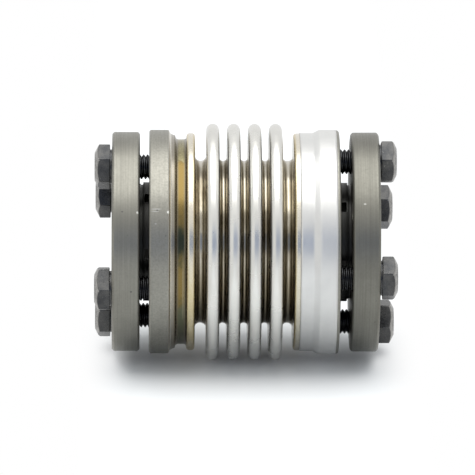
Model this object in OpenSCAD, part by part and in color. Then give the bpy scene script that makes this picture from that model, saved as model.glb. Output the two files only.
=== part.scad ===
// Metal bellows coupling: a corrugated sleeve welded between two flanged hubs.
// Each hub grips its shaft through a slotted conical bush, which screws draw into the hub's taper.
// The shaft axis is X, the origin is the middle of the bellows and the front is -Y.
// Angles round the axis start at the front and turn downwards.

/* [Bellows] */
// Outer diameter over the crests
bellows_od = 48; // [42:0.1:60]
// Outer diameter at the bottom of the valleys
bellows_root_d = 32.9; // [30:0.1:36]
// Number of full convolutions
convolutions = 4; // [2:1:8]
// Distance from crest to crest
pitch = 4.25; // [3.6:0.05:6]
// Width of a crest, measured outside
crest_w = 2.6; // [1.8:0.05:3.2]
// Width of the valley at each end, beside the end wall
end_valley_w = 2.3; // [1.4:0.05:3.5]
// Sheet thickness of the bellows
bellows_wall = 0.3; // [0.15:0.05:0.5]

/* [Hubs] */
// Diameter of the hub flange
hub_d = 45.4; // [43:0.1:56]
// Width of the flange's cylindrical rim
hub_rim_w = 4; // [3.5:0.1:8]
// Drop of the step behind the rim
hub_step = 0.7; // [0.3:0.05:0.9]
// Length of that step's slope
hub_step_w = 0.2; // [0.1:0.05:0.8]
// Width of the land between the step and the weld groove
land_w = 1.1; // [0.6:0.05:2]
// Drop along the land, towards the groove
land_drop = 0.45; // [0.1:0.05:0.5]
// Edge break on the flange's outer face
hub_edge = 0.3; // [0.1:0.05:0.8]
// Drop from the flange's rim to the top of the weld bead
bead_drop = 0.65; // [0.4:0.05:1.2]
// Width of the weld bead, with the bellows' end wall
bead_w = 1.7; // [1.4:0.05:3]
// Depth of the weld groove below the bead
groove_depth = 1.25; // [1.1:0.05:1.8]
// Width of the weld groove
groove_w = 2.25; // [1.4:0.05:3]
// Round at the bottom of the groove, under the land
groove_fillet = 0.6; // [0.2:0.05:0.7]
// Room between the hub's sleeve and the bellows round it
sleeve_clearance = 1.1; // [0.5:0.1:2]
// Length of the hub's sleeve inside the bellows
sleeve_len = 4.9; // [2:0.1:7]

/* [Clamping bushes] */
// Shaft bore
bore_d = 19; // [10:0.5:21]
// Wall of the bush at its neck
bush_wall = 2.55; // [2:0.05:3.2]
// Slope of the conical seat against the axis, in degrees
cone_angle = 3; // [1.5:0.25:4]
// Radial room between the cone and the hub's taper
cone_clearance = 0.02; // [0.01:0.01:0.1]
// How far the bush's nose stays short of the end of the hub's sleeve
nose_setback = 0.75; // [0.5:0.05:4]
// Step from the hub flange's rim down to the clamping flange's rim
bush_rim_step = 0.45; // [0:0.05:1]
// Thickness of the clamping flange
bush_flange_t = 5.6; // [4:0.1:7]
// Edge break on the clamping flange's rims
bush_edge = 0.4; // [0.1:0.05:1]
// Chamfer at the mouth of the bore
bore_chamfer = 0.6; // [0.2:0.1:1.5]
// Gap between the left hub and its clamping flange
left_gap = 1.9; // [1.4:0.1:3]
// Gap between the right hub and its clamping flange
right_gap = 2.4; // [1.4:0.1:3]
// Width of the relief groove beside the clamping flange
relief_w = 0.7; // [0.3:0.05:1]
// Depth of the relief groove
relief_depth = 0.5; // [0.2:0.05:1]
// Number of slits in the bush
slit_count = 6; // [3:1:8]
// Width of a slit
slit_w = 2.4; // [0.8:0.1:3]
// Distance from the closed end of a slit to the clamping flange
slit_end = 1; // [0.4:0.1:1.3]
// Angle of the first slit of the left bush
left_slit_angle = -62; // [-180:1:180]
// Angle of the first slit of the right bush
right_slit_angle = -51; // [-180:1:180]

/* [Clamping screws] */
// Number of screws in each clamping flange
screw_count = 4; // [3:1:4]
// Thread diameter
screw_d = 5; // [4:0.5:5.5]
// Length under the head
screw_len = 12; // [11:0.5:14]
// Chamfer on the tip of the thread
screw_tip = 0.6; // [0.2:0.1:1]
// Width of the head across its flats
head_af = 8; // [7:0.1:9]
// Height of the head with its washer face
head_h = 3.5; // [2.5:0.1:5]
// Height of the washer face under the head
washer_face_h = 0.4; // [0.2:0.05:0.6]
// Step from the flats in to the washer face
washer_face_step = 0.5; // [0.2:0.05:0.7]
// Step from the flats in to the round top of the head
head_top_step = 1.2; // [0.3:0.05:1.6]
// Slope of the chamfer on top of the head, in degrees
head_slope = 27; // [15:1:40]
// Distance from the clamping flange's rim to the screw centres
screw_rim = 4.5; // [3.5:0.1:5]
// Radial room round a screw in the clamping flange
screw_clearance = 0.25; // [0.1:0.05:0.5]
// Radial room round a screw in its tapped hole
thread_clearance = 0.05; // [0.02:0.01:0.1]
// Length of tapped hole beyond the screw's tip
tap_runout = 1; // [0.5:0.1:1.5]
// Point angle of the drilled holes, in degrees
drill_point = 118; // [90:1:140]
// Angle of the first screw on the left
left_screw_angle = -73; // [-180:1:180]
// Angle of the first screw on the right
right_screw_angle = -81; // [-180:1:180]
// Angle that a flat of each left head faces
left_head_turn = [-4, 21, 2, -18]; // [-30:1:30]
// Angle that a flat of each right head faces
right_head_turn = [11, 4, -30, -5]; // [-30:1:30]
// Diameter of the forcing-off holes
jack_d = 4.2; // [3:0.1:5]
// Number of forcing-off holes in each clamping flange
jack_count = 2; // [1:1:2]

/* [Label] */
// Thickness of the foil
label_t = 0.1; // [0.05:0.01:0.2]
// Thickness of the adhesive under the foil
label_glue = 0.02; // [0.01:0.01:0.05]
// Bare strip of rim beside the label
label_margin = 0.6; // [0.2:0.1:1.5]
// Distance from the top of the weld bead to the label's edge
label_bead_lap = 0.4; // [0.1:0.05:0.6]
// Angle of the label's upper end
label_start = -105; // [-180:1:180]
// How far the label reaches round the hub, in degrees
label_wrap = 300; // [60:5:350]

/* [Hidden] */
$fa = 3;
$fs = 0.2;
// Overshoot of the cutting shapes
cut = 1;

SCREWS = [for (i = [1:screw_count]) i];

// Bellows section: round crests and roots joined by flat walls
valley_w = pitch - crest_w;
crest_r = crest_w / 2;
valley_r = valley_w / 2;
crest_mid_r = bellows_od / 2 - crest_r;
root_mid_r = bellows_root_d / 2 + valley_r;
root_inside_r = bellows_root_d / 2 - bellows_wall;
end_crest_x = (convolutions - 1) * pitch / 2;
end_valley_r = end_valley_w / 2;
end_root_mid_r = bellows_root_d / 2 + end_valley_r;
end_flank_x = end_crest_x + crest_r;
end_face_x = end_flank_x + end_valley_w;

// Hub stations along the axis, from the bellows outwards
weld_face_x = end_face_x + bellows_wall;
bead_mid_x = end_face_x + bead_w / 2;
bead_out_x = end_face_x + bead_w;
groove_end_x = bead_out_x + groove_w;
step_x = groove_end_x + land_w;
rim_x = step_x + hub_step_w;
hub_face_x = rim_x + hub_rim_w;
sleeve_end_x = weld_face_x - sleeve_len;

// Hub radii
hub_r = hub_d / 2;
bead_r = hub_r - bead_drop;
bead_mid_r = bead_r - bead_w / 2;
groove_r = bead_r - groove_depth;
land_r = hub_r - hub_step;
land_end_r = land_r - land_drop;
groove_round = min(groove_fillet, land_end_r - groove_r);
sleeve_r = root_inside_r - sleeve_clearance;

// Bush: the cone starts where the seated bush enters the hub
bore_r = bore_d / 2;
neck_r = bore_r + bush_wall;
neck_len = min(left_gap, right_gap);
cone_len = hub_face_x - sleeve_end_x - nose_setback;
nose_r = neck_r - cone_len * tan(cone_angle);
taper_mouth_r = neck_r + cone_clearance;
taper_end_r = taper_mouth_r - (hub_face_x - sleeve_end_x) * tan(cone_angle);
bush_flange_r = hub_r - bush_rim_step;

// Screws and their holes
bolt_r = bush_flange_r - screw_rim;
screw_r = screw_d / 2;
tapped_r = screw_r + thread_clearance;
tapped_depth = screw_len - bush_flange_t - neck_len + tap_runout;
washer_face_r = head_af / 2 - washer_face_step;
head_corner_r = head_af / 2 / cos(30);
head_top_r = head_af / 2 - head_top_step;

steel = [0.6, 0.6, 0.57];
dark_steel = [0.5, 0.5, 0.48];
stainless = [0.84, 0.85, 0.83];
black_oxide = [0.2, 0.2, 0.2];
foil = [0.93, 0.93, 0.94];

// Turns a section about the shaft axis: its x is the radius and its y the station along the axis
module turned(angle = 360) {
  rotate([0, 90, 0])
    rotate_extrude(angle = angle)
      children();
}

// Hole or shank parallel to the axis, at an angle on the bolt circle
module on_bolt_circle(angle) {
  rotate([angle, 0, 0])
    translate([0, -bolt_r, 0])
      rotate([0, 90, 0])
        children();
}

// The whole weld bead as a round section
module bead_section() {
  translate([bead_mid_r, bead_mid_x])
    circle(r = bead_w / 2);
}

// Half of a ring section, one sheet thick: the outer half for a crest, the inner half for a root
module fold_section(r, side) {
  intersection() {
    difference() {
      circle(r = r);
      circle(r = r - bellows_wall);
    }
    translate([side > 0 ? 0 : -2 * r, -r])
      square(2 * r);
  }
}

// End wall up to the bead, rounded at its rim as half of the weld
module end_wall_section() {
  translate([end_root_mid_r, end_face_x])
    square([bead_mid_r - end_root_mid_r, bellows_wall]);
  intersection() {
    bead_section();
    translate([bead_mid_r, end_face_x])
      square([bead_w, bellows_wall]);
  }
}

module bellows_section() {
  for (i = [1:convolutions - 1])
    translate([root_mid_r, (i - 0.5) * pitch - end_crest_x])
      fold_section(valley_r + bellows_wall, -1);
  for (i = [0:convolutions - 1])
    translate([crest_mid_r, i * pitch - end_crest_x])
      fold_section(crest_r, 1);
  for (i = [1:convolutions - 1], flank = [-valley_r - bellows_wall, valley_r])
    translate([root_mid_r, (i - 0.5) * pitch - end_crest_x + flank])
      square([crest_mid_r - root_mid_r, bellows_wall]);
  for (side = [0, 1])
    mirror([0, side]) {
      translate([end_root_mid_r, end_flank_x - bellows_wall])
        square([crest_mid_r - end_root_mid_r, bellows_wall]);
      translate([end_root_mid_r, end_flank_x + end_valley_r])
        fold_section(end_valley_r + bellows_wall, -1);
      end_wall_section();
    }
}

module bellows() {
  color(stainless)
    turned()
      bellows_section();
}

// Hub body before its bead and fillet: sleeve, end face, groove, land, step and rim round the tapered bore
module hub_blank_section() {
  polygon([
    [taper_end_r, sleeve_end_x],
    [sleeve_r, sleeve_end_x],
    [sleeve_r, weld_face_x],
    [groove_r, weld_face_x],
    [groove_r, groove_end_x - groove_round],
    [groove_r + groove_round, groove_end_x],
    [land_end_r, groove_end_x],
    [land_r, step_x],
    [hub_r, rim_x],
    [hub_r, hub_face_x - hub_edge],
    [hub_r - hub_edge, hub_face_x],
    [taper_mouth_r, hub_face_x]
  ]);
}

// The hub's share of the weld: the bead beyond the bellows' end wall, on its foot
module hub_bead_section() {
  intersection() {
    bead_section();
    translate([groove_r, weld_face_x])
      square([2 * bead_w, bead_w]);
  }
  translate([groove_r, weld_face_x])
    square([bead_mid_r - groove_r, bead_out_x - weld_face_x]);
}

module hub_section() {
  difference() {
    hub_blank_section();
    translate([groove_r + groove_round, groove_end_x - groove_round])
      circle(r = groove_round);
  }
  hub_bead_section();
}

// Blind hole with a drill point, entered from the hub's face
module tapped_hole() {
  translate([0, 0, hub_face_x - tapped_depth])
    cylinder(r = tapped_r, h = tapped_depth + cut);
  point_h = tapped_r / tan(drill_point / 2);
  translate([0, 0, hub_face_x - tapped_depth - point_h])
    cylinder(r1 = 0, r2 = tapped_r, h = point_h);
}

module hub(screw_angle) {
  difference() {
    turned()
      hub_section();
    for (i = SCREWS)
      on_bolt_circle(screw_angle + (i - 1) * 360 / screw_count)
        tapped_hole();
  }
}

module left_hub() {
  color(steel)
    mirror([1, 0, 0])
      hub(left_screw_angle);
}

module right_hub() {
  color(steel)
    hub(right_screw_angle);
}

// Flange, relief groove, neck and cone round the shaft bore, with the flange's inner face at face_x
module bush_section(face_x) {
  nose_x = face_x - neck_len - cone_len;
  back_x = face_x + bush_flange_t;
  polygon([
    [bore_r, nose_x],
    [nose_r, nose_x],
    [neck_r, face_x - neck_len],
    [neck_r, face_x - relief_w],
    [neck_r - relief_depth, face_x - relief_w],
    [neck_r - relief_depth, face_x],
    [bush_flange_r - bush_edge, face_x],
    [bush_flange_r, face_x + bush_edge],
    [bush_flange_r, back_x - bush_edge],
    [bush_flange_r - bush_edge, back_x],
    [bore_r + bore_chamfer, back_x],
    [bore_r, back_x - bore_chamfer]
  ]);
}

module clamp_bush(gap, screw_angle, slit_angle) {
  face_x = hub_face_x + gap;
  nose_x = face_x - neck_len - cone_len;
  difference() {
    turned()
      bush_section(face_x);
    for (i = [1:slit_count])
      rotate([slit_angle + (i - 1) * 360 / slit_count, 0, 0])
        translate([nose_x - cut, -neck_r - cut, -slit_w / 2])
          cube([face_x - slit_end - nose_x + cut, neck_r + cut, slit_w]);
    for (i = SCREWS)
      on_bolt_circle(screw_angle + (i - 1) * 360 / screw_count)
        translate([0, 0, face_x - cut])
          cylinder(r = screw_r + screw_clearance, h = bush_flange_t + 2 * cut);
    for (i = [1:jack_count])
      on_bolt_circle(screw_angle + 180 / screw_count + (i - 1) * 360 / jack_count)
        translate([0, 0, face_x - cut])
          cylinder(d = jack_d, h = bush_flange_t + 2 * cut);
  }
}

module left_clamp_bush() {
  color(dark_steel)
    mirror([1, 0, 0])
      clamp_bush(left_gap, left_screw_angle, left_slit_angle);
}

module right_clamp_bush() {
  color(dark_steel)
    clamp_bush(right_gap, right_screw_angle, right_slit_angle);
}

// Hexagon head screw standing on its seat, with the shank below
module hex_screw() {
  cylinder(r = washer_face_r, h = washer_face_h);
  intersection() {
    translate([0, 0, washer_face_h])
      cylinder(r = head_corner_r, h = head_h - washer_face_h, $fn = 6);
    cylinder(r1 = head_top_r + head_h / tan(head_slope), r2 = head_top_r, h = head_h);
  }
  translate([0, 0, screw_tip - screw_len])
    cylinder(r = screw_r, h = screw_len - screw_tip);
  translate([0, 0, -screw_len])
    cylinder(r1 = screw_r - screw_tip, r2 = screw_r, h = screw_tip);
}

module clamp_screw(gap, angle, turn) {
  translate([hub_face_x + gap + bush_flange_t, -bolt_r * cos(angle), -bolt_r * sin(angle)])
    rotate([turn, 0, 0])
      rotate([0, 90, 0])
        hex_screw();
}

module left_clamp_screw(i) {
  color(black_oxide)
    mirror([1, 0, 0])
      clamp_screw(left_gap, left_screw_angle + (i - 1) * 360 / screw_count, left_head_turn[i - 1]);
}

module right_clamp_screw(i) {
  color(black_oxide)
    clamp_screw(right_gap, right_screw_angle + (i - 1) * 360 / screw_count, right_head_turn[i - 1]);
}

// Foil that bridges the groove level with the bead, rises to the flange and lies on its rim
module label_section() {
  path = [
    [bead_r + label_glue, bead_mid_x + label_bead_lap],
    [max(bead_r, land_end_r) + label_glue, groove_end_x],
    [hub_r + label_glue, rim_x],
    [hub_r + label_glue, hub_face_x - label_margin]
  ];
  foil_step = [label_t, 0];
  ends = len(path) - 1;
  polygon(concat(path, [for (i = [0:ends]) path[ends - i] + foil_step]));
}

module label() {
  color(foil)
    rotate([label_start - 90, 0, 0])
      turned(label_wrap)
        label_section();
}

bellows();
left_hub();
right_hub();
left_clamp_bush();
right_clamp_bush();
label();
for (i = SCREWS) {
  left_clamp_screw(i);
  right_clamp_screw(i);
}
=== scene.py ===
from math import atan2, cos, hypot, pi, radians, sin, tan

import bmesh
import bpy
from mathutils import Euler, Matrix, Vector


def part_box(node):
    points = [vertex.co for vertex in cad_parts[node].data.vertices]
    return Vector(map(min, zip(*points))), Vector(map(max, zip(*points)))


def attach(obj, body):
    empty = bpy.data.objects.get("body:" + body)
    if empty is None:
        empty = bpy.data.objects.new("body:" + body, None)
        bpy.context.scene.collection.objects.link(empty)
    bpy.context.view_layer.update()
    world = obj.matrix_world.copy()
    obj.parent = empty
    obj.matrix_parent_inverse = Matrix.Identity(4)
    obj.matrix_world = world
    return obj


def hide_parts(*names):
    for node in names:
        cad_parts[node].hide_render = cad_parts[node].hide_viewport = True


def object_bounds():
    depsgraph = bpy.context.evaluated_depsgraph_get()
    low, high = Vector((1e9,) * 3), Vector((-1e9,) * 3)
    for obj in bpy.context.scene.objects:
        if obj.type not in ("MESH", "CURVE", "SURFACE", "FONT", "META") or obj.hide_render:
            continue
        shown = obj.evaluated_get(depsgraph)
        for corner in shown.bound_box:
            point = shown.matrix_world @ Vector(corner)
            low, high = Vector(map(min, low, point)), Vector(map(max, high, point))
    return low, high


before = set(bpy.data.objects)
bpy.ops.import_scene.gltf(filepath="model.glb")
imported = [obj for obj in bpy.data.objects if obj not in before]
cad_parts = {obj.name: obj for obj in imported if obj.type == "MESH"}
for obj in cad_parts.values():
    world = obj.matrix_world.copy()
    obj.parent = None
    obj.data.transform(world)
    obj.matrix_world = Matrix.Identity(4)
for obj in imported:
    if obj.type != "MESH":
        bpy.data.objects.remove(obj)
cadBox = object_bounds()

mm = 0.001
joinWithin = 0.0005 * mm   # points of a turned piece closer than this become one
sliver = 0.001 * mm        # what is smaller than this is cleared away
overcut = mm               # how far a cutter reaches past the faces it cuts
sides = {"left": -1, "right": 1}
screwNumbers = range(1, 5)  # on each side
scene = bpy.context.scene
scene.view_settings.view_transform = "Standard"


# small tools for sections, turned pieces and cuts

def addPoint(bm, last, x, r):
    vert = bm.verts.new((x, 0, r))
    if last:
        bm.edges.new((last, vert))
    return vert


def addPath(bm, last, path):
    row = []
    for x, r in path:
        last = addPoint(bm, last, x, r)
        row.append(last)
    return row


def addArc(bm, last, centreX, centreR, turn, steps):
    swept = bmesh.ops.spin(bm, geom=[last], cent=(centreX, 0, centreR), axis=(0, 1, 0),
                           angle=radians(turn), steps=steps)
    return [item for item in swept["geom_last"] if isinstance(item, bmesh.types.BMVert)][0]


def roundCorners(bm, corners, radius, segments):
    bmesh.ops.bevel(bm, geom=corners, offset=radius, offset_type="OFFSET", affect="VERTICES",
                    segments=segments, profile=0.5, material=-1)


def turnAboutShaft(bm, steps):
    bmesh.ops.spin(bm, geom=bm.verts[:] + bm.edges[:], cent=(0, 0, 0), axis=(1, 0, 0),
                   angle=2 * pi, steps=steps, use_merge=True)
    bmesh.ops.remove_doubles(bm, verts=bm.verts[:], dist=joinWithin)
    bmesh.ops.recalc_face_normals(bm, faces=bm.faces[:])


def asObject(bm, name):
    mesh = bpy.data.meshes.new(name)
    bm.to_mesh(mesh)
    bm.free()
    piece = bpy.data.objects.new(name, mesh)
    scene.collection.objects.link(piece)
    return piece


def settleModifiers(piece):  # the modifiers' result becomes the mesh
    bpy.context.view_layer.update()
    made = piece.evaluated_get(bpy.context.evaluated_depsgraph_get())
    mesh = bpy.data.meshes.new_from_object(made)
    spare = piece.data
    piece.modifiers.clear()
    piece.data = mesh
    bpy.data.meshes.remove(spare)


def combine(piece, tool, operation):
    step = piece.modifiers.new(operation.lower(), "BOOLEAN")
    step.operation = operation
    step.solver = "EXACT"
    step.object = tool
    settleModifiers(piece)
    bpy.data.objects.remove(tool)


def clearSlivers(piece):  # cuts and bevels can leave faces with no area
    bm = bmesh.new()
    bm.from_mesh(piece.data)
    bmesh.ops.remove_doubles(bm, verts=bm.verts[:], dist=sliver)
    bmesh.ops.dissolve_degenerate(bm, edges=bm.edges[:], dist=sliver)
    bm.to_mesh(piece.data)
    bm.free()


def breakEdges(piece, width, material=-1, segments=2, sharperThan=38):
    step = piece.modifiers.new("edgeBreak", "BEVEL")
    step.width = width
    step.segments = segments
    step.limit_method = "ANGLE"
    step.angle_limit = radians(sharperThan)
    step.material = material
    settleModifiers(piece)


def shadeSmooth(piece, angle=40):
    piece.data.shade_smooth()
    piece.data.set_sharp_from_angle(angle=radians(angle))
    step = piece.modifiers.new("flatFaces", "WEIGHTED_NORMAL")
    step.keep_sharp = True


def dress(piece, node, slot, *materials):
    for material in materials:
        piece.data.materials.append(material)
    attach(piece, "root")
    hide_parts(node)


# node tools for the finishes

class Finish:
    def __init__(self, name, metallic=1.0):
        self.material = bpy.data.materials.new(name)
        self.material.use_nodes = True
        self.nodes = self.material.node_tree.nodes
        self.links = self.material.node_tree.links
        self.shader = self.nodes["Principled BSDF"]
        self.shader.inputs["Metallic"].default_value = metallic
        self.place = self.nodes.new("ShaderNodeTexCoord").outputs["Object"]

    def feed(self, socket, value):
        if isinstance(value, bpy.types.NodeSocket):
            self.links.new(value, socket)
        else:
            socket.default_value = value

    def noise(self, scale, detail=3.0, roughness=0.55, stretch=(1, 1, 1)):
        mapping = self.nodes.new("ShaderNodeMapping")
        mapping.inputs["Scale"].default_value = stretch
        self.links.new(self.place, mapping.inputs["Vector"])
        noise = self.nodes.new("ShaderNodeTexNoise")
        self.links.new(mapping.outputs["Vector"], noise.inputs["Vector"])
        noise.inputs["Scale"].default_value = scale
        noise.inputs["Detail"].default_value = detail
        noise.inputs["Roughness"].default_value = roughness
        return noise.outputs["Fac"]

    def ramp(self, value, low, high, start=0.0, end=1.0):
        ranged = self.nodes.new("ShaderNodeMapRange")
        ranged.interpolation_type = "SMOOTHSTEP"
        ends = {"From Min": low, "From Max": high, "To Min": start, "To Max": end}
        for name, number in ends.items():
            ranged.inputs[name].default_value = number
        self.links.new(value, ranged.inputs["Value"])
        return ranged.outputs["Result"]

    def math(self, operation, first, second=0.0):
        node = self.nodes.new("ShaderNodeMath")
        node.operation = operation
        self.feed(node.inputs[0], first)
        self.feed(node.inputs[1], second)
        return node.outputs["Value"]

    def mix(self, factor, first, second):
        node = self.nodes.new("ShaderNodeMix")
        node.data_type = "RGBA"
        self.feed(node.inputs["Factor"], factor)
        for name, colour in (("A", first), ("B", second)):
            linked = isinstance(colour, bpy.types.NodeSocket)
            self.feed(node.inputs[name], colour if linked else (*colour, 1))
        return node.outputs["Result"]

    def along(self, axis):
        split = self.nodes.new("ShaderNodeSeparateXYZ")
        self.links.new(self.place, split.inputs["Vector"])
        return split.outputs[axis]

    def fromMiddle(self):  # distance along the shaft, the same on both sides
        return self.math("ABSOLUTE", self.along("X"))

    def fromShaft(self):  # distance from the shaft axis
        squares = [self.math("POWER", self.along(axis), 2.0) for axis in "YZ"]
        return self.math("SQRT", self.math("ADD", *squares))

    def band(self, value, middle, half, soft):  # 1 inside a stretch, 0 outside
        away = self.math("ABSOLUTE", self.math("SUBTRACT", value, middle))
        return self.ramp(away, half, half + soft, 1.0, 0.0)

    def mark(self, base, place, reach, share, colour):  # a small share stretches it along the shaft
        x, angle, r = place
        core = 0.4 * reach  # full strength up to here
        spot = self.place
        steps = (
            ("SUBTRACT", (x, -r * cos(angle), r * sin(angle))),
            ("MULTIPLY", (share, 1, 1)),
        )
        for operation, values in steps:
            step = self.nodes.new("ShaderNodeVectorMath")
            step.operation = operation
            self.links.new(spot, step.inputs[0])
            step.inputs[1].default_value = values
            spot = step.outputs["Vector"]
        away = self.nodes.new("ShaderNodeVectorMath")
        away.operation = "LENGTH"
        self.links.new(spot, away.inputs[0])
        return self.mix(self.ramp(away.outputs["Value"], core, reach, 1.0, 0.0), base, colour)

    def colour(self, socket):
        self.links.new(socket, self.shader.inputs["Base Color"])

    def rough(self, socket):
        self.links.new(socket, self.shader.inputs["Roughness"])

    def bump(self, socket, strength, height):
        bump = self.nodes.new("ShaderNodeBump")
        bump.inputs["Strength"].default_value = strength
        bump.inputs["Distance"].default_value = height
        self.links.new(socket, bump.inputs["Height"])
        self.links.new(bump.outputs["Normal"], self.shader.inputs["Normal"])


# bellows: a square wave with rounded folds, turned about the shaft and given its sheet thickness

bellowsLook = {
    "folds": 4,
    "pitch": 4.25 * mm,
    "crestWidth": 2.6 * mm,
    "crestDrop": 0.0002 * mm,  # keeps the crests inside the frame's box
    "wall": 0.3 * mm,
    "rootOuter": 16.45 * mm,
    "rimTuck": 0.6 * mm,       # how far the end wall stops inside the weld bead
    "foldRound": 0.49995,      # share of a fold's width, so that both its rounds all but meet
    "foldSteps": 10,
    "turnSteps": 180,
    "smoothUpTo": 50,
    "steel": (0.69, 0.685, 0.652),
    "shade": (0.64, 0.635, 0.602),
    # valley colour: a brown tint, partly painted shade
    "valleyBrownAndShade": (0.52, 0.485, 0.41),
    # darker colour for the valleys' stains and for their painted shade below
    "stainAndShadeDark": (0.26, 0.225, 0.165),
    "valleyColourBelow": 19.5 * mm,   # valleys are browner and darker up to here, partly painted shade, and plain from the next radius
    "plainAbove": 21.5 * mm,
    "paintedShadeBelow": (-6 * mm, 4 * mm),  # heights over which the valleys darken downwards: painted shade on the underside
    "drawn": {"scale": 700, "roughness": 0.5, "stretch": (0.3, 1, 1)},
    "drawnEnds": (0.3, 0.7),
    "patches": {"scale": 120},
    "patchEnds": (0.35, 0.7),
    "stains": {"scale": 260, "detail": 4.0, "roughness": 0.6, "stretch": (1, 0.35, 0.35)},
    "stainEnds": (0.38, 0.66),
    "rough": (0.27, 0.32),
    "valleyRough": 0.65,       # share of that roughness left in the valleys
    "bump": (0.02, 0.004 * mm),
}
beadLook = {"width": 1.7 * mm, "drop": 0.65 * mm, "round": (0.64 * mm, 9)}  # radius and segments

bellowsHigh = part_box("bellows")[1]
crestOuter = min(bellowsHigh.y, bellowsHigh.z) - bellowsLook["crestDrop"]
weldFaceX = bellowsHigh.x
endWallX = weldFaceX - bellowsLook["wall"] / 2
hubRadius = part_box("left_hub")[1].z
beadTop = hubRadius - beadLook["drop"]
beadFootR = beadTop - beadLook["width"] / 2
beadInX = weldFaceX - bellowsLook["wall"]
beadOutX = beadInX + beadLook["width"]


def bellowsSteel():
    look = bellowsLook
    finish = Finish("bellowsSteel")
    drawn = finish.noise(**look["drawn"])
    patches = finish.noise(**look["patches"])
    base = finish.mix(finish.ramp(patches, *look["patchEnds"]), look["steel"], look["shade"])
    stained = finish.ramp(finish.noise(**look["stains"]), *look["stainEnds"])
    # painted shade: the valleys darken towards the bottom, joined by real stains
    shadedBelow = finish.ramp(finish.along("Z"), *look["paintedShadeBelow"], 1.0, 0.0)
    dark = finish.math("MAXIMUM", stained, shadedBelow)
    # valley colour: a brown tint and painted shade, darker at stains and at the painted shade below
    valleyBrownAndShade = finish.mix(dark, look["valleyBrownAndShade"], look["stainAndShadeDark"])
    plainSteel = finish.ramp(finish.fromShaft(), look["valleyColourBelow"], look["plainAbove"])
    finish.colour(finish.mix(plainSteel, valleyBrownAndShade, base))
    rough = finish.ramp(drawn, *look["drawnEnds"], *look["rough"])
    share = finish.ramp(plainSteel, 0, 1, look["valleyRough"], 1.0)
    finish.rough(finish.math("MULTIPLY", rough, share))
    finish.bump(drawn, *look["bump"])
    return finish.material


def makeBellows():
    look = bellowsLook
    crest = crestOuter - look["wall"] / 2
    root = look["rootOuter"] - look["wall"] / 2
    rim = beadTop - look["rimTuck"]
    half = (look["crestWidth"] - look["wall"]) / 2  # from the middle of a crest to its walls
    middles = [(i - (look["folds"] - 1) / 2) * look["pitch"] for i in range(look["folds"])]
    walls = [x + way * half for x in middles for way in (-1, 1)]
    walls = [-endWallX, *walls, endWallX]
    bm = bmesh.new()
    last = addPoint(bm, None, walls[0], rim)
    folds = []
    for i, pair in enumerate(zip(walls, walls[1:])):
        r = crest if i % 2 else root
        folds.append(addPath(bm, last, [(x, r) for x in pair]))
        last = folds[-1][-1]
    addPoint(bm, last, walls[-1], rim)
    for corners in folds:
        width = corners[1].co.x - corners[0].co.x
        roundCorners(bm, corners, look["foldRound"] * width, look["foldSteps"])
    turnAboutShaft(bm, look["turnSteps"])
    piece = asObject(bm, "bellowsSleeve")
    wall = piece.modifiers.new("sheet", "SOLIDIFY")
    wall.thickness = look["wall"]
    wall.offset = 0
    shadeSmooth(piece, look["smoothUpTo"])
    dress(piece, "bellows", "bellows_steel", bellowsSteel())
    print("bellows turned:", len(piece.data.polygons), "faces")


# turned steel of the hubs and bushes: rings from the lathe, darker patches, grain and pits

turnedLook = {
    "patches": {"scale": 160, "detail": 4.0, "roughness": 0.6},
    "patchEnds": (0.3, 0.7),
    "bands": {"scale": 900, "detail": 2.0, "roughness": 0.5, "stretch": (1, 0.02, 0.02)},
    "rings": {"scale": 4200, "detail": 2.0, "roughness": 0.6, "stretch": (1, 0.012, 0.012)},
    "grain": {"scale": 2600, "roughness": 0.6},
    "pits": {"scale": 1500, "detail": 2.0, "roughness": 0.5},
    "darkening": {  # from and to in the noise, strength if not the piece's own, share of the shade
        "bands": (0.45, 0.75, 0.3, 0.8),
        "rings": (0.35, 0.65, None, 0.6),
        "grain": (0.4, 0.65, None, 0.6),
        "pits": (0.70, 0.78, 0.6, 0.45),
    },
    "ringRough": 0.6,           # share of the rings in the roughness, beside the grain
    "roughEnds": (0.4, 1.1),
    "rough": (0.34, 0.46),
    "bump": (0.2, 0.006 * mm),
    "nickTint": (1.0, 1.0, 0.95),
}


def turnedSteel(name, steel, shade, strengths):  # strengths of the rings and the grain
    look = turnedLook
    finish = Finish(name)
    noises = {kind: finish.noise(**look[kind]) for kind in look["darkening"]}
    patches = finish.noise(**look["patches"])
    base = finish.mix(finish.ramp(patches, *look["patchEnds"]), steel, shade)
    for kind, (low, high, strength, share) in look["darkening"].items():
        shown = finish.ramp(noises[kind], low, high, 0.0, strengths.get(kind, strength))
        base = finish.mix(shown, base, [share * c for c in shade])
    rings = finish.math("MULTIPLY", noises["rings"], look["ringRough"])
    uneven = finish.math("ADD", noises["grain"], rings)
    rough = finish.ramp(uneven, *look["roughEnds"], *look["rough"])
    finish.bump(noises["rings"], *look["bump"])
    return finish, base, rough


def addNicks(finish, base, nicks, radius):
    for x, angle, size, share, shine in nicks:
        place = x * mm, radians(angle), radius
        colour = [shine * c for c in turnedLook["nickTint"]]
        base = finish.mark(base, place, size * mm, share, colour)
    return base


# hubs: sleeve, weld bead, groove, land, step and rim round the tapered bore

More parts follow.
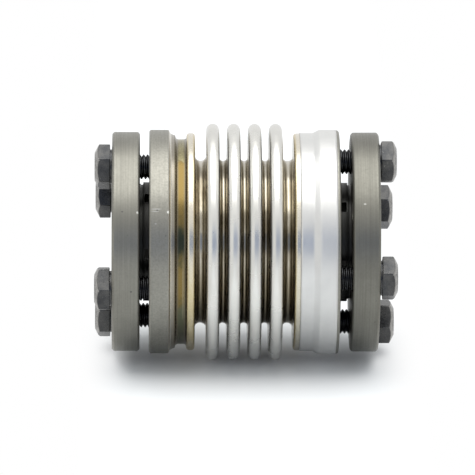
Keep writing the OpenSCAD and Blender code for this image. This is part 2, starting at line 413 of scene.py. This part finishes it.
hubLook = {
    "sleeveLength": 4.9 * mm,
    "sleeveRadius": 15.05 * mm,
    "grooveDepth": 1.25 * mm,
    "grooveWidth": 2.25 * mm,
    "grooveRound": (0.6 * mm, 8),   # radius and segments, as for the other rounds
    "land": (1.1 * mm, 0.45 * mm),  # width and drop towards the groove
    "stepDrop": 0.7 * mm,           # behind the rim
    "rim": 4.0 * mm,
    "edge": 0.3 * mm,
    "mouthRadius": 12.07 * mm,
    "coneAngle": 3,
    "weldRound": (0.55 * mm, 6),    # in the corner under the bead
    "cornerRound": (0.1 * mm, 3),
    "stepRound": (0.33 * mm, 8),
    "turnSteps": 200,
    "tappedRadius": 2.55 * mm,
    "tappedDepth": 5.5 * mm,
    "steel": (0.297, 0.292, 0.258),
    "shade": (0.26, 0.255, 0.226),
    "strengths": {"rings": 0.12, "grain": 0.3},
    "smoothBehind": (0.3 * mm, 0.62),  # behind the rim: fade, share of the roughness left
    "landSteel": (0.30, 0.277, 0.232),
    "landFade": 0.4 * mm,
    # edge wear and a painted highlight on the step behind the rim, lifting its shade
    "wornEdgeAndHighlight": (0.58, 0.56, 0.50),
    "bead": (0.68, 0.645, 0.56),
    "beadEdge": (0.56, 0.46, 0.25),
    "beadLow": {"left": (0.55, 0.475, 0.30), "right": (0.55, 0.52, 0.43)},
    "beadHeights": (-5 * mm, 4 * mm, 1.0, 0.1),  # from and to, strength of beadLow at each
    "beadStains": (0.3, 0.55, 0.55, 1.0),
    "beadFade": (-0.15 * mm, 0.1 * mm),
    "gold": {"left": (0.185, 0.132, 0.046), "right": (0.16, 0.125, 0.06)},
    "goldPatches": ((14.2 * mm, 3.6 * mm), (-3.2 * mm, 2.4 * mm)),  # height and half the reach, kept to the heights where the reflection is bright
    "goldFade": 4 * mm,
    # painted shade: the dark olive left between the gold heights lies where the dark band of the
    # reflection falls
    "oliveShade": (0.055, 0.06, 0.037),
    "oliveLow": (0.115, 0.12, 0.075),
    "oliveHeights": (-9 * mm, -5 * mm),
    "brown": (0.29, 0.26, 0.145),
    "brownHeights": (18.5 * mm, 20.5 * mm),
    # painted shade along the groove's edges and on its wall by the land
    "grooveEdgeShade": (0.15, 0.13, 0.09),
    # painted highlight: a thin light line along the groove's floor
    "grooveHighlightColour": (0.30, 0.27, 0.19),
    "grooveHighlightHeights": (-5 * mm, 4 * mm, 4 * mm),  # middle, half the reach and fade
    "grooveHighlightStrength": 0.35,
    "stains": {"scale": 420, "detail": 4.0, "roughness": 0.65, "stretch": (1, 0.5, 0.5)},
    "stainEnds": (0.3, 0.7),
    "ragged": 1.5 * mm,             # how far the stains move the tints up or down
    # bands along the shaft: shift, half the width and fade;
    # core and groove add theirs to half the groove's width
    "bands": {
        # worn: edge wear and a painted highlight on the step's wall
        "worn": (-0.2 * mm, 0.15 * mm, 0.2 * mm),
        # edge: painted shade on the groove's wall by the land
        "edge": (0.0, 0.15 * mm, 0.25 * mm),
        # painted highlight along the groove's floor
        "grooveHighlight": (-0.4 * mm, 0.08 * mm, 0.16 * mm),
        "core": (0.0, -0.8 * mm, 0.6 * mm),
        "groove": (-0.1 * mm, -0.3 * mm, 0.35 * mm),
        "beadTop": (0.05 * mm, 0.3 * mm, 0.5 * mm),
    },
    "nicks": {  # along the shaft, angle above the front, reach, share along the shaft, brightness
        "left": (
            (-15.3, 30, 0.4, 0.8, 0.75),
            (-17.8, 31.6, 0.16, 0.12, 0.42),
            (-18.0, 30.4, 0.14, 0.14, 0.40),
            (-17.9, 24, 0.2, 0.8, 0.4),
            (-17.6, 31.0, 0.22, 0.9, 0.1),
        ),
        "right": ((17.2, 48, 0.16, 0.3, 0.4),),
    },
}
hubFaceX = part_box("right_hub")[1].x
grooveEndX = beadOutX + hubLook["grooveWidth"]
rimX = hubFaceX - hubLook["rim"]


def weldTint(finish, base, side):  # gold and olive in the groove, pale gold on the bead, with painted shade and painted highlights in the groove and on the step
    look = hubLook
    reach = finish.fromMiddle()
    stains = finish.noise(**look["stains"])
    moved = finish.ramp(stains, *look["stainEnds"], -look["ragged"], look["ragged"])
    height = finish.math("ADD", finish.along("Z"), moved)
    grooveMiddle, grooveHalf = (beadOutX + grooveEndX) / 2, look["grooveWidth"] / 2

    def shown(band, middle, half=0.0):
        shift, width, fade = look["bands"][band]
        return finish.band(reach, middle + shift, half + width, fade)

    # heat-tint gold, kept to the heights of the bright reflection; the olive between is painted
    # shade
    golden = [finish.band(height, *patch, look["goldFade"]) for patch in look["goldPatches"]]
    oliveShade = finish.ramp(height, *look["oliveHeights"])
    groove = finish.mix(oliveShade, look["oliveLow"], look["oliveShade"])
    groove = finish.mix(finish.math("MAXIMUM", *golden), groove, look["gold"][side])
    groove = finish.mix(finish.ramp(height, *look["brownHeights"]), groove, look["brown"])
    # painted highlight along the groove's floor, over the middle heights
    grooveHighlight = finish.math("MULTIPLY", shown("grooveHighlight", grooveMiddle),
                       finish.band(height, *look["grooveHighlightHeights"]))
    grooveHighlight = finish.math("MULTIPLY", grooveHighlight, look["grooveHighlightStrength"])
    groove = finish.mix(grooveHighlight, groove, look["grooveHighlightColour"])
    # painted shade: outside its core the groove darkens towards its walls
    groove = finish.mix(shown("core", grooveMiddle, grooveHalf), look["grooveEdgeShade"], groove)

    land = finish.ramp(reach, rimX - look["landFade"], rimX, 1.0, 0.0)
    base = finish.mix(land, base, look["landSteel"])
    # edge wear and a painted highlight on the step's wall behind the rim
    base = finish.mix(shown("worn", rimX), base, look["wornEdgeAndHighlight"])
    # painted shade on the groove's wall by the land
    base = finish.mix(shown("edge", grooveEndX), base, look["grooveEdgeShade"])
    base = finish.mix(shown("groove", grooveMiddle, grooveHalf), base, groove)

    warm = finish.math("MULTIPLY", finish.ramp(stains, *look["beadStains"]),
                       finish.ramp(height, *look["beadHeights"]))
    bead = finish.mix(warm, look["bead"], look["beadLow"][side])
    bead = finish.mix(shown("beadTop", (beadInX + beadOutX) / 2), look["beadEdge"], bead)
    ends = [beadOutX + shift for shift in look["beadFade"]]
    return finish.mix(finish.ramp(reach, *ends, 1.0, 0.0), base, bead)


def boltCircle(side):  # the screws' angles and their radius, from their boxes in the frame
    middles = []
    for number in screwNumbers:
        low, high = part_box(f"{side}_clamp_screw_{number}")
        middles.append((low + high) / 2)
    angles = [atan2(-middle.z, -middle.y) for middle in middles]
    return angles, hypot(middles[0].y, middles[0].z)


def rodsOnCircle(bm, angles, radius, rodRadius, x0, x1, segments=40):
    lying = Matrix.Rotation(pi / 2, 4, "Y")
    for angle in angles:
        place = ((x0 + x1) / 2, -radius * cos(angle), -radius * sin(angle))
        bmesh.ops.create_cone(bm, cap_ends=True, segments=segments, radius1=rodRadius,
                              radius2=rodRadius, depth=abs(x1 - x0),
                              matrix=Matrix.Translation(place) @ lying)


def makeHub(side):
    look = hubLook
    sign = sides[side]
    slope = tan(radians(look["coneAngle"]))
    sleeveEnd = weldFaceX - look["sleeveLength"]
    grooveR = beadTop - look["grooveDepth"]
    grooveRound, roundSteps = look["grooveRound"]
    landWidth, landDrop = look["land"]
    landTop = hubRadius - look["stepDrop"]
    bm = bmesh.new()
    start = addPoint(bm, None, sleeveEnd, look["mouthRadius"] - (hubFaceX - sleeveEnd) * slope)
    sleeveCorner, *_, beadIn, beadOut, weldCorner, last = addPath(bm, start, [
        (sleeveEnd, look["sleeveRadius"]),
        (weldFaceX, look["sleeveRadius"]),
        (weldFaceX, beadFootR),
        (beadInX, beadFootR),
        (beadInX, beadTop),
        (beadOutX, beadTop),
        (beadOutX, grooveR),
        (grooveEndX - grooveRound, grooveR),
    ])
    last = addArc(bm, last, last.co.x, grooveR + grooveRound, -90, roundSteps)
    landLow, landHigh, rimStart, rimEnd, faceEdge, last = addPath(bm, last, [
        (grooveEndX, landTop - landDrop),
        (grooveEndX + landWidth, landTop),
        (rimX, hubRadius),
        (hubFaceX - look["edge"], hubRadius),
        (hubFaceX, hubRadius - look["edge"]),
        (hubFaceX, look["mouthRadius"]),
    ])
    bm.edges.new((last, start))
    roundCorners(bm, [sleeveCorner, landLow, rimEnd, faceEdge], *look["cornerRound"])
    roundCorners(bm, [landHigh, rimStart], *look["stepRound"])
    roundCorners(bm, [beadIn, beadOut], *beadLook["round"])
    roundCorners(bm, [weldCorner], *look["weldRound"])
    bmesh.ops.scale(bm, vec=(sign, 1, 1), verts=bm.verts[:])
    turnAboutShaft(bm, look["turnSteps"])
    piece = asObject(bm, f"{side}HubTurned")

    tool = bmesh.new()
    ends = sign * (hubFaceX - look["tappedDepth"]), sign * (hubFaceX + overcut)
    rodsOnCircle(tool, *boltCircle(side), look["tappedRadius"], *ends)
    combine(piece, asObject(tool, "tappedHoles"), "DIFFERENCE")
    clearSlivers(piece)
    shadeSmooth(piece)

    finish, base, rough = turnedSteel(f"{side}HubSteel", look["steel"], look["shade"],
                                      look["strengths"])
    base = weldTint(finish, base, side)
    finish.colour(addNicks(finish, base, look["nicks"][side], hubRadius))
    fade, share = look["smoothBehind"]
    smoother = finish.ramp(finish.fromMiddle(), rimX - fade, rimX, share, 1.0)
    finish.rough(finish.math("MULTIPLY", rough, smoother))
    dress(piece, f"{side}_hub", "hub_steel", finish.material)
    print(side, "hub turned:", len(piece.data.polygons), "faces")


# clamping bushes: flange, relief, neck and slotted cone round the shaft bore

bushLook = {
    "boreRadius": 9.5 * mm,
    "neckRadius": 12.05 * mm,
    "neckLength": 1.9 * mm,
    "noseRadius": 11.3635 * mm,
    "flange": 5.6 * mm,
    "edge": 0.4 * mm,
    "boreChamfer": 0.6 * mm,
    "relief": (0.7 * mm, 0.5 * mm),  # width and depth
    "slits": 6,
    "slitWidth": 2.4 * mm,
    "slitEnd": 1.0 * mm,
    "slitFrom": 0.75,                # the cutter starts at this share of the bore's radius
    "firstSlit": {"left": -62, "right": -51},
    "screwHole": 2.75 * mm,
    "jackHole": 2.1 * mm,
    "cornerRound": (0.12 * mm, 3),   # radius and segments
    "holeBreak": 0.15 * mm,
    "turnSteps": 200,
    "steel": {"left": (0.258, 0.254, 0.223), "right": (0.208, 0.205, 0.179)},
    "shade": {"left": (0.226, 0.222, 0.195), "right": (0.182, 0.179, 0.156)},
    "strengths": {"rings": 0.3, "grain": 0.12},
    # painted shade: the neck in the gap between flange and hub is near black
    "neckShade": (0.05, 0.05, 0.048),
    "neckShadeFade": (0.4 * mm, 1.0 * mm),  # into the flange, and out from the neck
    "nicks": {  # as on the hubs
        "left": (
            (-21.5, 30, 0.35, 0.9, 0.6),
            (-24.6, 30.5, 0.2, 0.8, 0.09),
            (-22.8, -12, 0.25, 0.9, 0.1),
        ),
        "right": ((24.0, 35, 0.18, 0.5, 0.45),),
    },
}


def cutSlits(piece, side, nose, face):
    look = bushLook
    end = face - look["slitEnd"]
    length = end - nose + overcut
    inner, outer = look["slitFrom"] * look["boreRadius"], look["neckRadius"] + overcut
    size = Matrix.Diagonal((length, outer - inner, look["slitWidth"], 1))
    place = Matrix.Translation((sides[side] * (end - length / 2), -(inner + outer) / 2, 0))
    tool = bmesh.new()
    for i in range(look["slits"]):
        turn = Matrix.Rotation(radians(look["firstSlit"][side] + i * 360 / look["slits"]), 4, "X")
        bmesh.ops.create_cube(tool, size=1, matrix=turn @ place @ size)
    combine(piece, asObject(tool, "slits"), "DIFFERENCE")


def cutFlangeHoles(piece, side, face, back):
    look = bushLook
    sign = sides[side]
    angles, radius = boltCircle(side)
    jacks = [angles[0] + pi / 4, angles[0] + 5 * pi / 4]  # between screws, opposite each other
    ends = sign * (face - overcut), sign * (back + overcut)
    tool = bmesh.new()
    rodsOnCircle(tool, angles, radius, look["screwHole"], *ends)
    rodsOnCircle(tool, jacks, radius, look["jackHole"], *ends)
    combine(piece, asObject(tool, "flangeHoles"), "DIFFERENCE")


def makeBush(side):
    look = bushLook
    sign = sides[side]
    low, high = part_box(f"{side}_clamp_bush")
    nose, back = (low.x, high.x) if sign > 0 else (-high.x, -low.x)
    rim = high.z
    face = back - look["flange"]
    reliefWidth, reliefDepth = look["relief"]
    bore, neck, edge = look["boreRadius"], look["neckRadius"], look["edge"]
    bm = bmesh.new()
    outline = addPath(bm, None, [
        (nose, bore),
        (nose, look["noseRadius"]),
        (face - look["neckLength"], neck),
        (face - reliefWidth, neck),
        (face - reliefWidth, neck - reliefDepth),
        (face, neck - reliefDepth),
        (face, rim - edge),
        (face + edge, rim),
        (back - edge, rim),
        (back, rim - edge),
        (back, bore + look["boreChamfer"]),
        (back - look["boreChamfer"], bore),
    ])
    bm.edges.new((outline[-1], outline[0]))
    roundCorners(bm, outline[:2] + outline[6:11], *look["cornerRound"])  # the nose and the flange
    bmesh.ops.scale(bm, vec=(sign, 1, 1), verts=bm.verts[:])
    turnAboutShaft(bm, look["turnSteps"])
    piece = asObject(bm, f"{side}BushTurned")
    cutSlits(piece, side, nose, face)
    cutFlangeHoles(piece, side, face, back)
    clearSlivers(piece)
    breakEdges(piece, look["holeBreak"])
    clearSlivers(piece)
    shadeSmooth(piece)

    finish, base, rough = turnedSteel(f"{side}BushSteel", look["steel"][side], look["shade"][side],
                                      look["strengths"])
    finish.rough(rough)
    # painted shade on the neck, in the gap between the flange and the hub
    intoFlange, outFromNeck = look["neckShadeFade"]
    outside = finish.ramp(finish.fromMiddle(), face, face + intoFlange)
    offNeck = finish.ramp(finish.fromShaft(), neck, neck + outFromNeck)
    plainSteel = finish.math("MAXIMUM", outside, offNeck)
    base = finish.mix(plainSteel, look["neckShade"], base)
    finish.colour(addNicks(finish, base, look["nicks"][side], rim))
    dress(piece, f"{side}_clamp_bush", "clamp_steel", finish.material)
    print(side, "clamping bush turned and slotted:", len(piece.data.polygons), "faces")


# hexagon screws: chamfered head on a washer face, thread along the shank

screwLook = {
    "headHeight": 3.5 * mm,
    "flats": 8.0 * mm,
    "washerHeight": 0.4 * mm,
    "washerRadius": 3.5 * mm,
    "washerSink": 0.1 * mm,          # how far it goes up into the head
    "washerSteps": 64,
    "topRadius": 2.8 * mm,
    "topSlope": 27,
    "topSteps": 96,
    "chamferFaces": (0.3, 0.98),     # upward part of their normals
    "edgeBreak": 0.16 * mm,
    "smoothUpTo": 35,
    "length": 12.0 * mm,
    "threadRadius": 2.5 * mm,
    "threadDepth": 0.4 * mm,
    "threadShape": ((0, 0), (1, 0.32), (1, 0.54), (0, 0.86), (0, 1)),  # shares of depth and pitch
    "threadSteps": 28,
    "pitch": 0.8 * mm,
    "tip": 0.6 * mm,
    "tipInset": 0.02 * mm,           # keeps the tip just inside the thread's root
    "flatFaces": {"left": (-4, 21, 2, -18), "right": (11, 4, -30, -5)},  # where a flat faces
    "oxide": (0.088, 0.088, 0.087),
    "oxideDark": (0.053, 0.055, 0.058),
    # painted shade: the thread, which sits in the dark gap, is darker than the oxide
    "threadShade": (0.026, 0.026, 0.028),
    "worn": (0.49, 0.48, 0.455),
    "plainWear": (0.62, 0.78, 0.0, 0.35),  # which scuffs show, and how bare they are
    "edgeWear": (0.3, 0.7, 0.3, 0.65),
    "threadWear": (0.7, 0.8, 0.0, 0.1),
    "patches": {"scale": 420, "detail": 4.0, "roughness": 0.6},
    "patchEnds": (0.35, 0.7),
    "grain": {"scale": 3800, "roughness": 0.6},
    "grainEnds": (0.3, 0.7),
    "scuffs": {"scale": 1500, "detail": 4.0, "roughness": 0.7},
    "rough": (0.24, 0.36),
    "bump": (0.2, 0.01 * mm),
}
headSides = 6
edgeFinish, threadFinish = 1, 2  # places in the screw's list of materials, after the plain oxide


def blackOxide(name, light, dark, wear):
    look = screwLook
    finish = Finish(name)
    patches = finish.noise(**look["patches"])
    grain = finish.noise(**look["grain"])
    scuffs = finish.noise(**look["scuffs"])
    base = finish.mix(finish.ramp(patches, *look["patchEnds"]), look[light], look[dark])
    finish.colour(finish.mix(finish.ramp(scuffs, *look[wear]), base, look["worn"]))
    finish.rough(finish.ramp(grain, *look["grainEnds"], *look["rough"]))
    finish.bump(grain, *look["bump"])
    return finish.material


def addCone(bm, low, high, radius1, radius2, segments):
    bmesh.ops.create_cone(bm, cap_ends=True, segments=segments, radius1=radius1, radius2=radius2,
                          depth=high - low, matrix=Matrix.Translation((0, 0, (low + high) / 2)))


def makeHead():
    look = screwLook
    top, washerTop = look["headHeight"], look["washerHeight"]
    corner = look["flats"] / 2 / cos(pi / headSides)
    bm = bmesh.new()
    addCone(bm, washerTop, top, corner, corner, headSides)
    piece = asObject(bm, "hexHead")
    reach = top / tan(radians(look["topSlope"]))
    tool = bmesh.new()
    addCone(tool, 0, top, look["topRadius"] + reach, look["topRadius"], look["topSteps"])
    combine(piece, asObject(tool, "headChamfer"), "INTERSECT")
    breakEdges(piece, look["edgeBreak"], edgeFinish)
    bm = bmesh.new()
    bm.from_mesh(piece.data)
    bpy.data.objects.remove(piece)
    least, most = look["chamferFaces"]
    for face in bm.faces:
        if least < face.normal.z < most:  # the chamfer shines with wear
            face.material_index = edgeFinish
    addCone(bm, 0, washerTop + look["washerSink"], look["washerRadius"], look["washerRadius"],
            look["washerSteps"])
    return bm


def addThread(bm):
    look = screwLook
    tall = look["pitch"]
    root = look["threadRadius"] - look["threadDepth"]
    foot = tall / 2 - look["length"]
    turns = -foot / tall  # up to the seat, so that the last turn ends inside the head
    steps = round(look["threadSteps"] * turns)
    head = set(bm.faces)
    verts = []
    for depth, share in look["threadShape"]:
        verts.append(bm.verts.new((root + depth * look["threadDepth"], 0, foot + share * tall)))
    edges = [bm.edges.new(pair) for pair in zip(verts, verts[1:])]
    bmesh.ops.spin(bm, geom=verts + edges, cent=(0, 0, 0), axis=(0, 0, 1),
                   angle=2 * pi * turns, steps=steps, dvec=(0, 0, turns * tall / steps))
    flanks = {vert for face in bm.faces if face not in head for vert in face.verts}
    bmesh.ops.remove_doubles(bm, verts=list(flanks), dist=sliver)  # each turn joins the next
    bmesh.ops.holes_fill(bm, edges=[edge for edge in bm.edges if edge.is_boundary], sides=0)
    addCone(bm, -look["length"], look["tip"] - look["length"], look["threadRadius"] - look["tip"],
            root - look["tipInset"], look["threadSteps"])
    for face in bm.faces:
        if face not in head:
            face.material_index = threadFinish


def screwShape():
    bm = makeHead()
    addThread(bm)
    bmesh.ops.recalc_face_normals(bm, faces=bm.faces[:])
    mesh = bpy.data.meshes.new("screwShape")
    bm.to_mesh(mesh)
    bm.free()
    return mesh


def makeScrew(side, number, shape, finishes):
    look = screwLook
    node = f"{side}_clamp_screw_{number}"
    sign = sides[side]
    low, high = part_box(node)
    seat = high.x - look["headHeight"] if sign > 0 else -(low.x + look["headHeight"])
    bm = bmesh.new()
    bm.from_mesh(shape)
    halfSide = 180 / headSides  # the prism starts with a corner in front
    turn = radians(look["flatFaces"][side][number - 1] + halfSide)
    stand = Matrix.Rotation(turn, 4, "X") @ Matrix.Rotation(sign * pi / 2, 4, "Y")
    place = Matrix.Translation((sign * seat, (low.y + high.y) / 2, (low.z + high.z) / 2))
    bmesh.ops.transform(bm, matrix=place @ stand, verts=bm.verts[:])
    piece = asObject(bm, f"{side}HexScrew{number}")
    shadeSmooth(piece, look["smoothUpTo"])
    dress(piece, node, "black_oxide", *finishes)


def makeScrews():
    finishes = [
        blackOxide("blackOxide", "oxide", "oxideDark", "plainWear"),
        blackOxide("blackOxideWorn", "oxide", "oxideDark", "edgeWear"),
        # painted shade for the thread in the gap
        blackOxide("blackOxideShaded", "oxideDark", "threadShade", "threadWear"),
    ]
    shape = screwShape()
    for side in sides:
        for number in screwNumbers:
            makeScrew(side, number, shape, finishes)
    print("screws placed:", len(shape.polygons), "faces each")


# label: bare foil from the weld bead over the groove to the rim

labelLook = {
    "thickness": 0.1 * mm,
    "lift": 0.07 * mm,         # the foil's middle above what it lies on
    "start": -105,
    "wrap": 300,
    "steps": 220,
    "cuts": 5,                 # in each straight part of its section
    "metallic": 0.85,
    "foil": (0.635, 0.635, 0.62),
    "foilShade": (0.585, 0.585, 0.575),
    "soft": {"scale": 140},
    "softEnds": (0.35, 0.7),
    "fine": {"scale": 2400, "detail": 2.0},
    "fineEnds": (0.3, 0.7),
    "rough": (0.28, 0.35),
    "rimRough": 0.1,           # more roughness over the rim
    "bump": (0.15, 0.05 * mm),
}


def labelFoil():
    look = labelLook
    finish = Finish("labelFoil", look["metallic"])
    soft = finish.noise(**look["soft"])
    fine = finish.noise(**look["fine"])
    finish.colour(finish.mix(finish.ramp(soft, *look["softEnds"]), look["foil"], look["foilShade"]))
    rough = finish.ramp(fine, *look["fineEnds"], *look["rough"])
    overRim = finish.ramp(finish.along("X"), grooveEndX, rimX, 0.0, look["rimRough"])
    finish.rough(finish.math("ADD", rough, overRim))
    finish.bump(soft, *look["bump"])
    return finish.material


def makeLabel():
    look = labelLook
    low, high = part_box("label")
    dip, outer = beadTop + look["lift"], hubRadius + look["lift"]
    bm = bmesh.new()
    addPath(bm, None, [(low.x, dip), (grooveEndX, dip), (rimX, outer), (high.x, outer)])
    bmesh.ops.subdivide_edges(bm, edges=bm.edges[:], cuts=look["cuts"])
    turn = radians(look["start"] + 90)  # the section stands a quarter turn above the front
    bmesh.ops.rotate(bm, cent=(0, 0, 0), matrix=Matrix.Rotation(turn, 3, "X"), verts=bm.verts[:])
    bmesh.ops.spin(bm, geom=bm.verts[:] + bm.edges[:], cent=(0, 0, 0), axis=(1, 0, 0),
                   angle=radians(look["wrap"]), steps=look["steps"])
    bmesh.ops.recalc_face_normals(bm, faces=bm.faces[:])
    piece = asObject(bm, "hubLabel")
    sheet = piece.modifiers.new("foil", "SOLIDIFY")
    sheet.thickness = look["thickness"]
    sheet.offset = 0
    shadeSmooth(piece)
    dress(piece, "label", "label_foil", labelFoil())
    print("label wrapped:", len(piece.data.polygons), "faces")


makeBellows()
for side in sides:
    makeHub(side)
    makeBush(side)
makeScrews()
makeLabel()


# floor, light and camera

stageLook = {
    "floorSize": 4.0,
    "floorWhite": 0.80,
    "floorRough": 0.7,
    "floorSheen": 0.2,
    "floorLift": 0.03,
    "fade": {"X": (22.9 * mm, 34.9 * mm), "Y": (120 * mm, 400 * mm)},  # lit floor to plain white; at the sides this white is painted light over the coupling's shadow
    "fadeMiddle": {"X": 1.4 * mm, "Y": 0.0},
    "ambient": 0.87,
    "ambientTint": (0.94, 1.0, 1.045),
    "softboxPower": 9.9,
    "softboxTint": (1.0, 0.99, 0.965),
    "softboxSize": (1.4, 1.05),
    "softboxPlace": (0.0, -0.02, 0.95),
    "cardGrey": (0.375, 0.44, 0.61),
    "cardSize": (4.3, 0.7),
    "cardPlace": (1.6, -1.5, 0.40),
}


def lightPath(nodes, links):  # 1 for the rays that show the white surroundings
    path = nodes.new("ShaderNodeLightPath")
    total = path.outputs["Is Camera Ray"]
    for name in ("Is Glossy Ray", "Is Transmission Ray"):
        both = nodes.new("ShaderNodeMath")
        both.operation = "MAXIMUM"
        links.new(total, both.inputs[0])
        links.new(path.outputs[name], both.inputs[1])
        total = both.outputs["Value"]
    return total


def makeWorld():
    look = stageLook
    world = bpy.data.worlds.new("whiteRoom")
    world.use_nodes = True
    nodes, links = world.node_tree.nodes, world.node_tree.links
    room = nodes.new("ShaderNodeMix")
    room.data_type = "RGBA"
    room.inputs["A"].default_value = (*(look["ambient"] * c for c in look["ambientTint"]), 1)
    room.inputs["B"].default_value = (1, 1, 1, 1)
    links.new(lightPath(nodes, links), room.inputs["Factor"])
    links.new(room.outputs["Result"], nodes["Background"].inputs["Color"])
    scene.world = world


def paintedWhiteFade(nodes, links):  # 0 on the lit floor round the coupling, 1 on plain white, which at the sides is painted light that fades out the coupling's shadow
    look = stageLook
    place = nodes.new("ShaderNodeTexCoord")
    split = nodes.new("ShaderNodeSeparateXYZ")
    links.new(place.outputs["Object"], split.inputs["Vector"])
    farthest = nodes.new("ShaderNodeMath")
    farthest.operation = "MAXIMUM"
    for socket, (axis, ends) in zip(farthest.inputs, look["fade"].items()):
        shift = nodes.new("ShaderNodeMath")
        shift.operation = "SUBTRACT"
        shift.inputs[1].default_value = look["fadeMiddle"][axis]
        links.new(split.outputs[axis], shift.inputs[0])
        away = nodes.new("ShaderNodeMath")
        away.operation = "ABSOLUTE"
        links.new(shift.outputs["Value"], away.inputs[0])
        far = nodes.new("ShaderNodeMapRange")
        far.interpolation_type = "SMOOTHSTEP"
        far.inputs["From Min"].default_value, far.inputs["From Max"].default_value = ends
        links.new(away.outputs["Value"], far.inputs["Value"])
        links.new(far.outputs["Result"], socket)
    return farthest.outputs["Value"]


def makeFloor():
    look = stageLook
    bm = bmesh.new()
    bmesh.ops.create_grid(bm, x_segments=1, y_segments=1, size=look["floorSize"])
    bmesh.ops.translate(bm, verts=bm.verts[:], vec=(0, 0, cadBox[0][2]))
    floor = asObject(bm, "whiteTable")
    material = bpy.data.materials.new("tableWhite")
    material.use_nodes = True
    nodes, links = material.node_tree.nodes, material.node_tree.links
    shader = nodes["Principled BSDF"]
    shader.inputs["Base Color"].default_value = (*[look["floorWhite"]] * 3, 1)
    shader.inputs["Roughness"].default_value = look["floorRough"]
    shader.inputs["Specular IOR Level"].default_value = look["floorSheen"]
    shader.inputs["Emission Color"].default_value = (1, 1, 1, 1)
    shown = lightPath(nodes, links)
    lift = nodes.new("ShaderNodeMath")
    lift.operation = "MULTIPLY"
    lift.inputs[1].default_value = look["floorLift"]
    links.new(shown, lift.inputs[0])
    links.new(lift.outputs["Value"], shader.inputs["Emission Strength"])
    glow = nodes.new("ShaderNodeEmission")
    strength = nodes.new("ShaderNodeMapRange")
    strength.inputs["To Min"].default_value = look["ambient"]
    links.new(shown, strength.inputs["Value"])
    links.new(strength.outputs["Result"], glow.inputs["Strength"])
    blend = nodes.new("ShaderNodeMixShader")
    links.new(paintedWhiteFade(nodes, links), blend.inputs["Fac"])
    links.new(shader.outputs["BSDF"], blend.inputs[1])
    links.new(glow.outputs["Emission"], blend.inputs[2])
    links.new(blend.outputs["Shader"], nodes["Material Output"].inputs["Surface"])
    floor.data.materials.append(material)


def makeCard():  # grey card behind the camera, for the dark band on the metal
    look = stageLook
    upright = Matrix.Rotation(-pi / 2, 3, "X")
    bm = bmesh.new()
    bmesh.ops.create_grid(bm, x_segments=1, y_segments=1, size=0.5)
    bmesh.ops.scale(bm, vec=(*look["cardSize"], 1), verts=bm.verts[:])
    bmesh.ops.rotate(bm, cent=(0, 0, 0), matrix=upright, verts=bm.verts[:])
    bmesh.ops.translate(bm, verts=bm.verts[:], vec=look["cardPlace"])
    card = asObject(bm, "darkCard")
    material = bpy.data.materials.new("cardGrey")
    material.use_nodes = True
    shader = material.node_tree.nodes["Principled BSDF"]
    shader.inputs["Base Color"].default_value = (*look["cardGrey"], 1)
    shader.inputs["Roughness"].default_value = 1.0
    card.data.materials.append(material)
    card.visible_camera = False


def makeSoftbox():
    look = stageLook
    lamp = bpy.data.lights.new("overheadSoftbox", "AREA")
    lamp.shape = "RECTANGLE"
    lamp.size, lamp.size_y = look["softboxSize"]
    lamp.energy = look["softboxPower"]
    lamp.color = look["softboxTint"]
    softbox = bpy.data.objects.new("overheadSoftbox", lamp)
    softbox.location = look["softboxPlace"]
    towards = -Vector(look["softboxPlace"])
    softbox.rotation_euler = towards.to_track_quat("-Z", "Y").to_euler()
    scene.collection.objects.link(softbox)


cameraLook = {
    "azimuth": -0.75,
    "elevation": 15.0,
    "distance": 1.35,
    "sensor": 36,
    "frameWidth": 96.5 * mm,       # what the picture's width spans at the shaft axis
    "aim": (-1.26 * mm, 0, 0.88 * mm),
    "roll": 0.35,
}


def makeCamera():
    look = cameraLook
    lens = bpy.data.cameras.new("camera")
    lens.sensor_width = look["sensor"]
    lens.lens = look["sensor"] * look["distance"] / look["frameWidth"]
    camera = bpy.data.objects.new("camera", lens)
    azimuth, elevation = radians(look["azimuth"]), radians(look["elevation"])
    away = Vector((sin(azimuth) * cos(elevation), -cos(azimuth) * cos(elevation), sin(elevation)))
    camera.location = Vector(look["aim"]) + away * look["distance"]
    facing = (-away).to_track_quat("-Z", "Y")
    roll = Euler((0, 0, radians(look["roll"]))).to_quaternion()
    camera.rotation_euler = (facing @ roll).to_euler()
    scene.collection.objects.link(camera)
    scene.camera = camera


makeWorld()
makeFloor()
makeCard()
makeSoftbox()
makeCamera()
print("stage set")
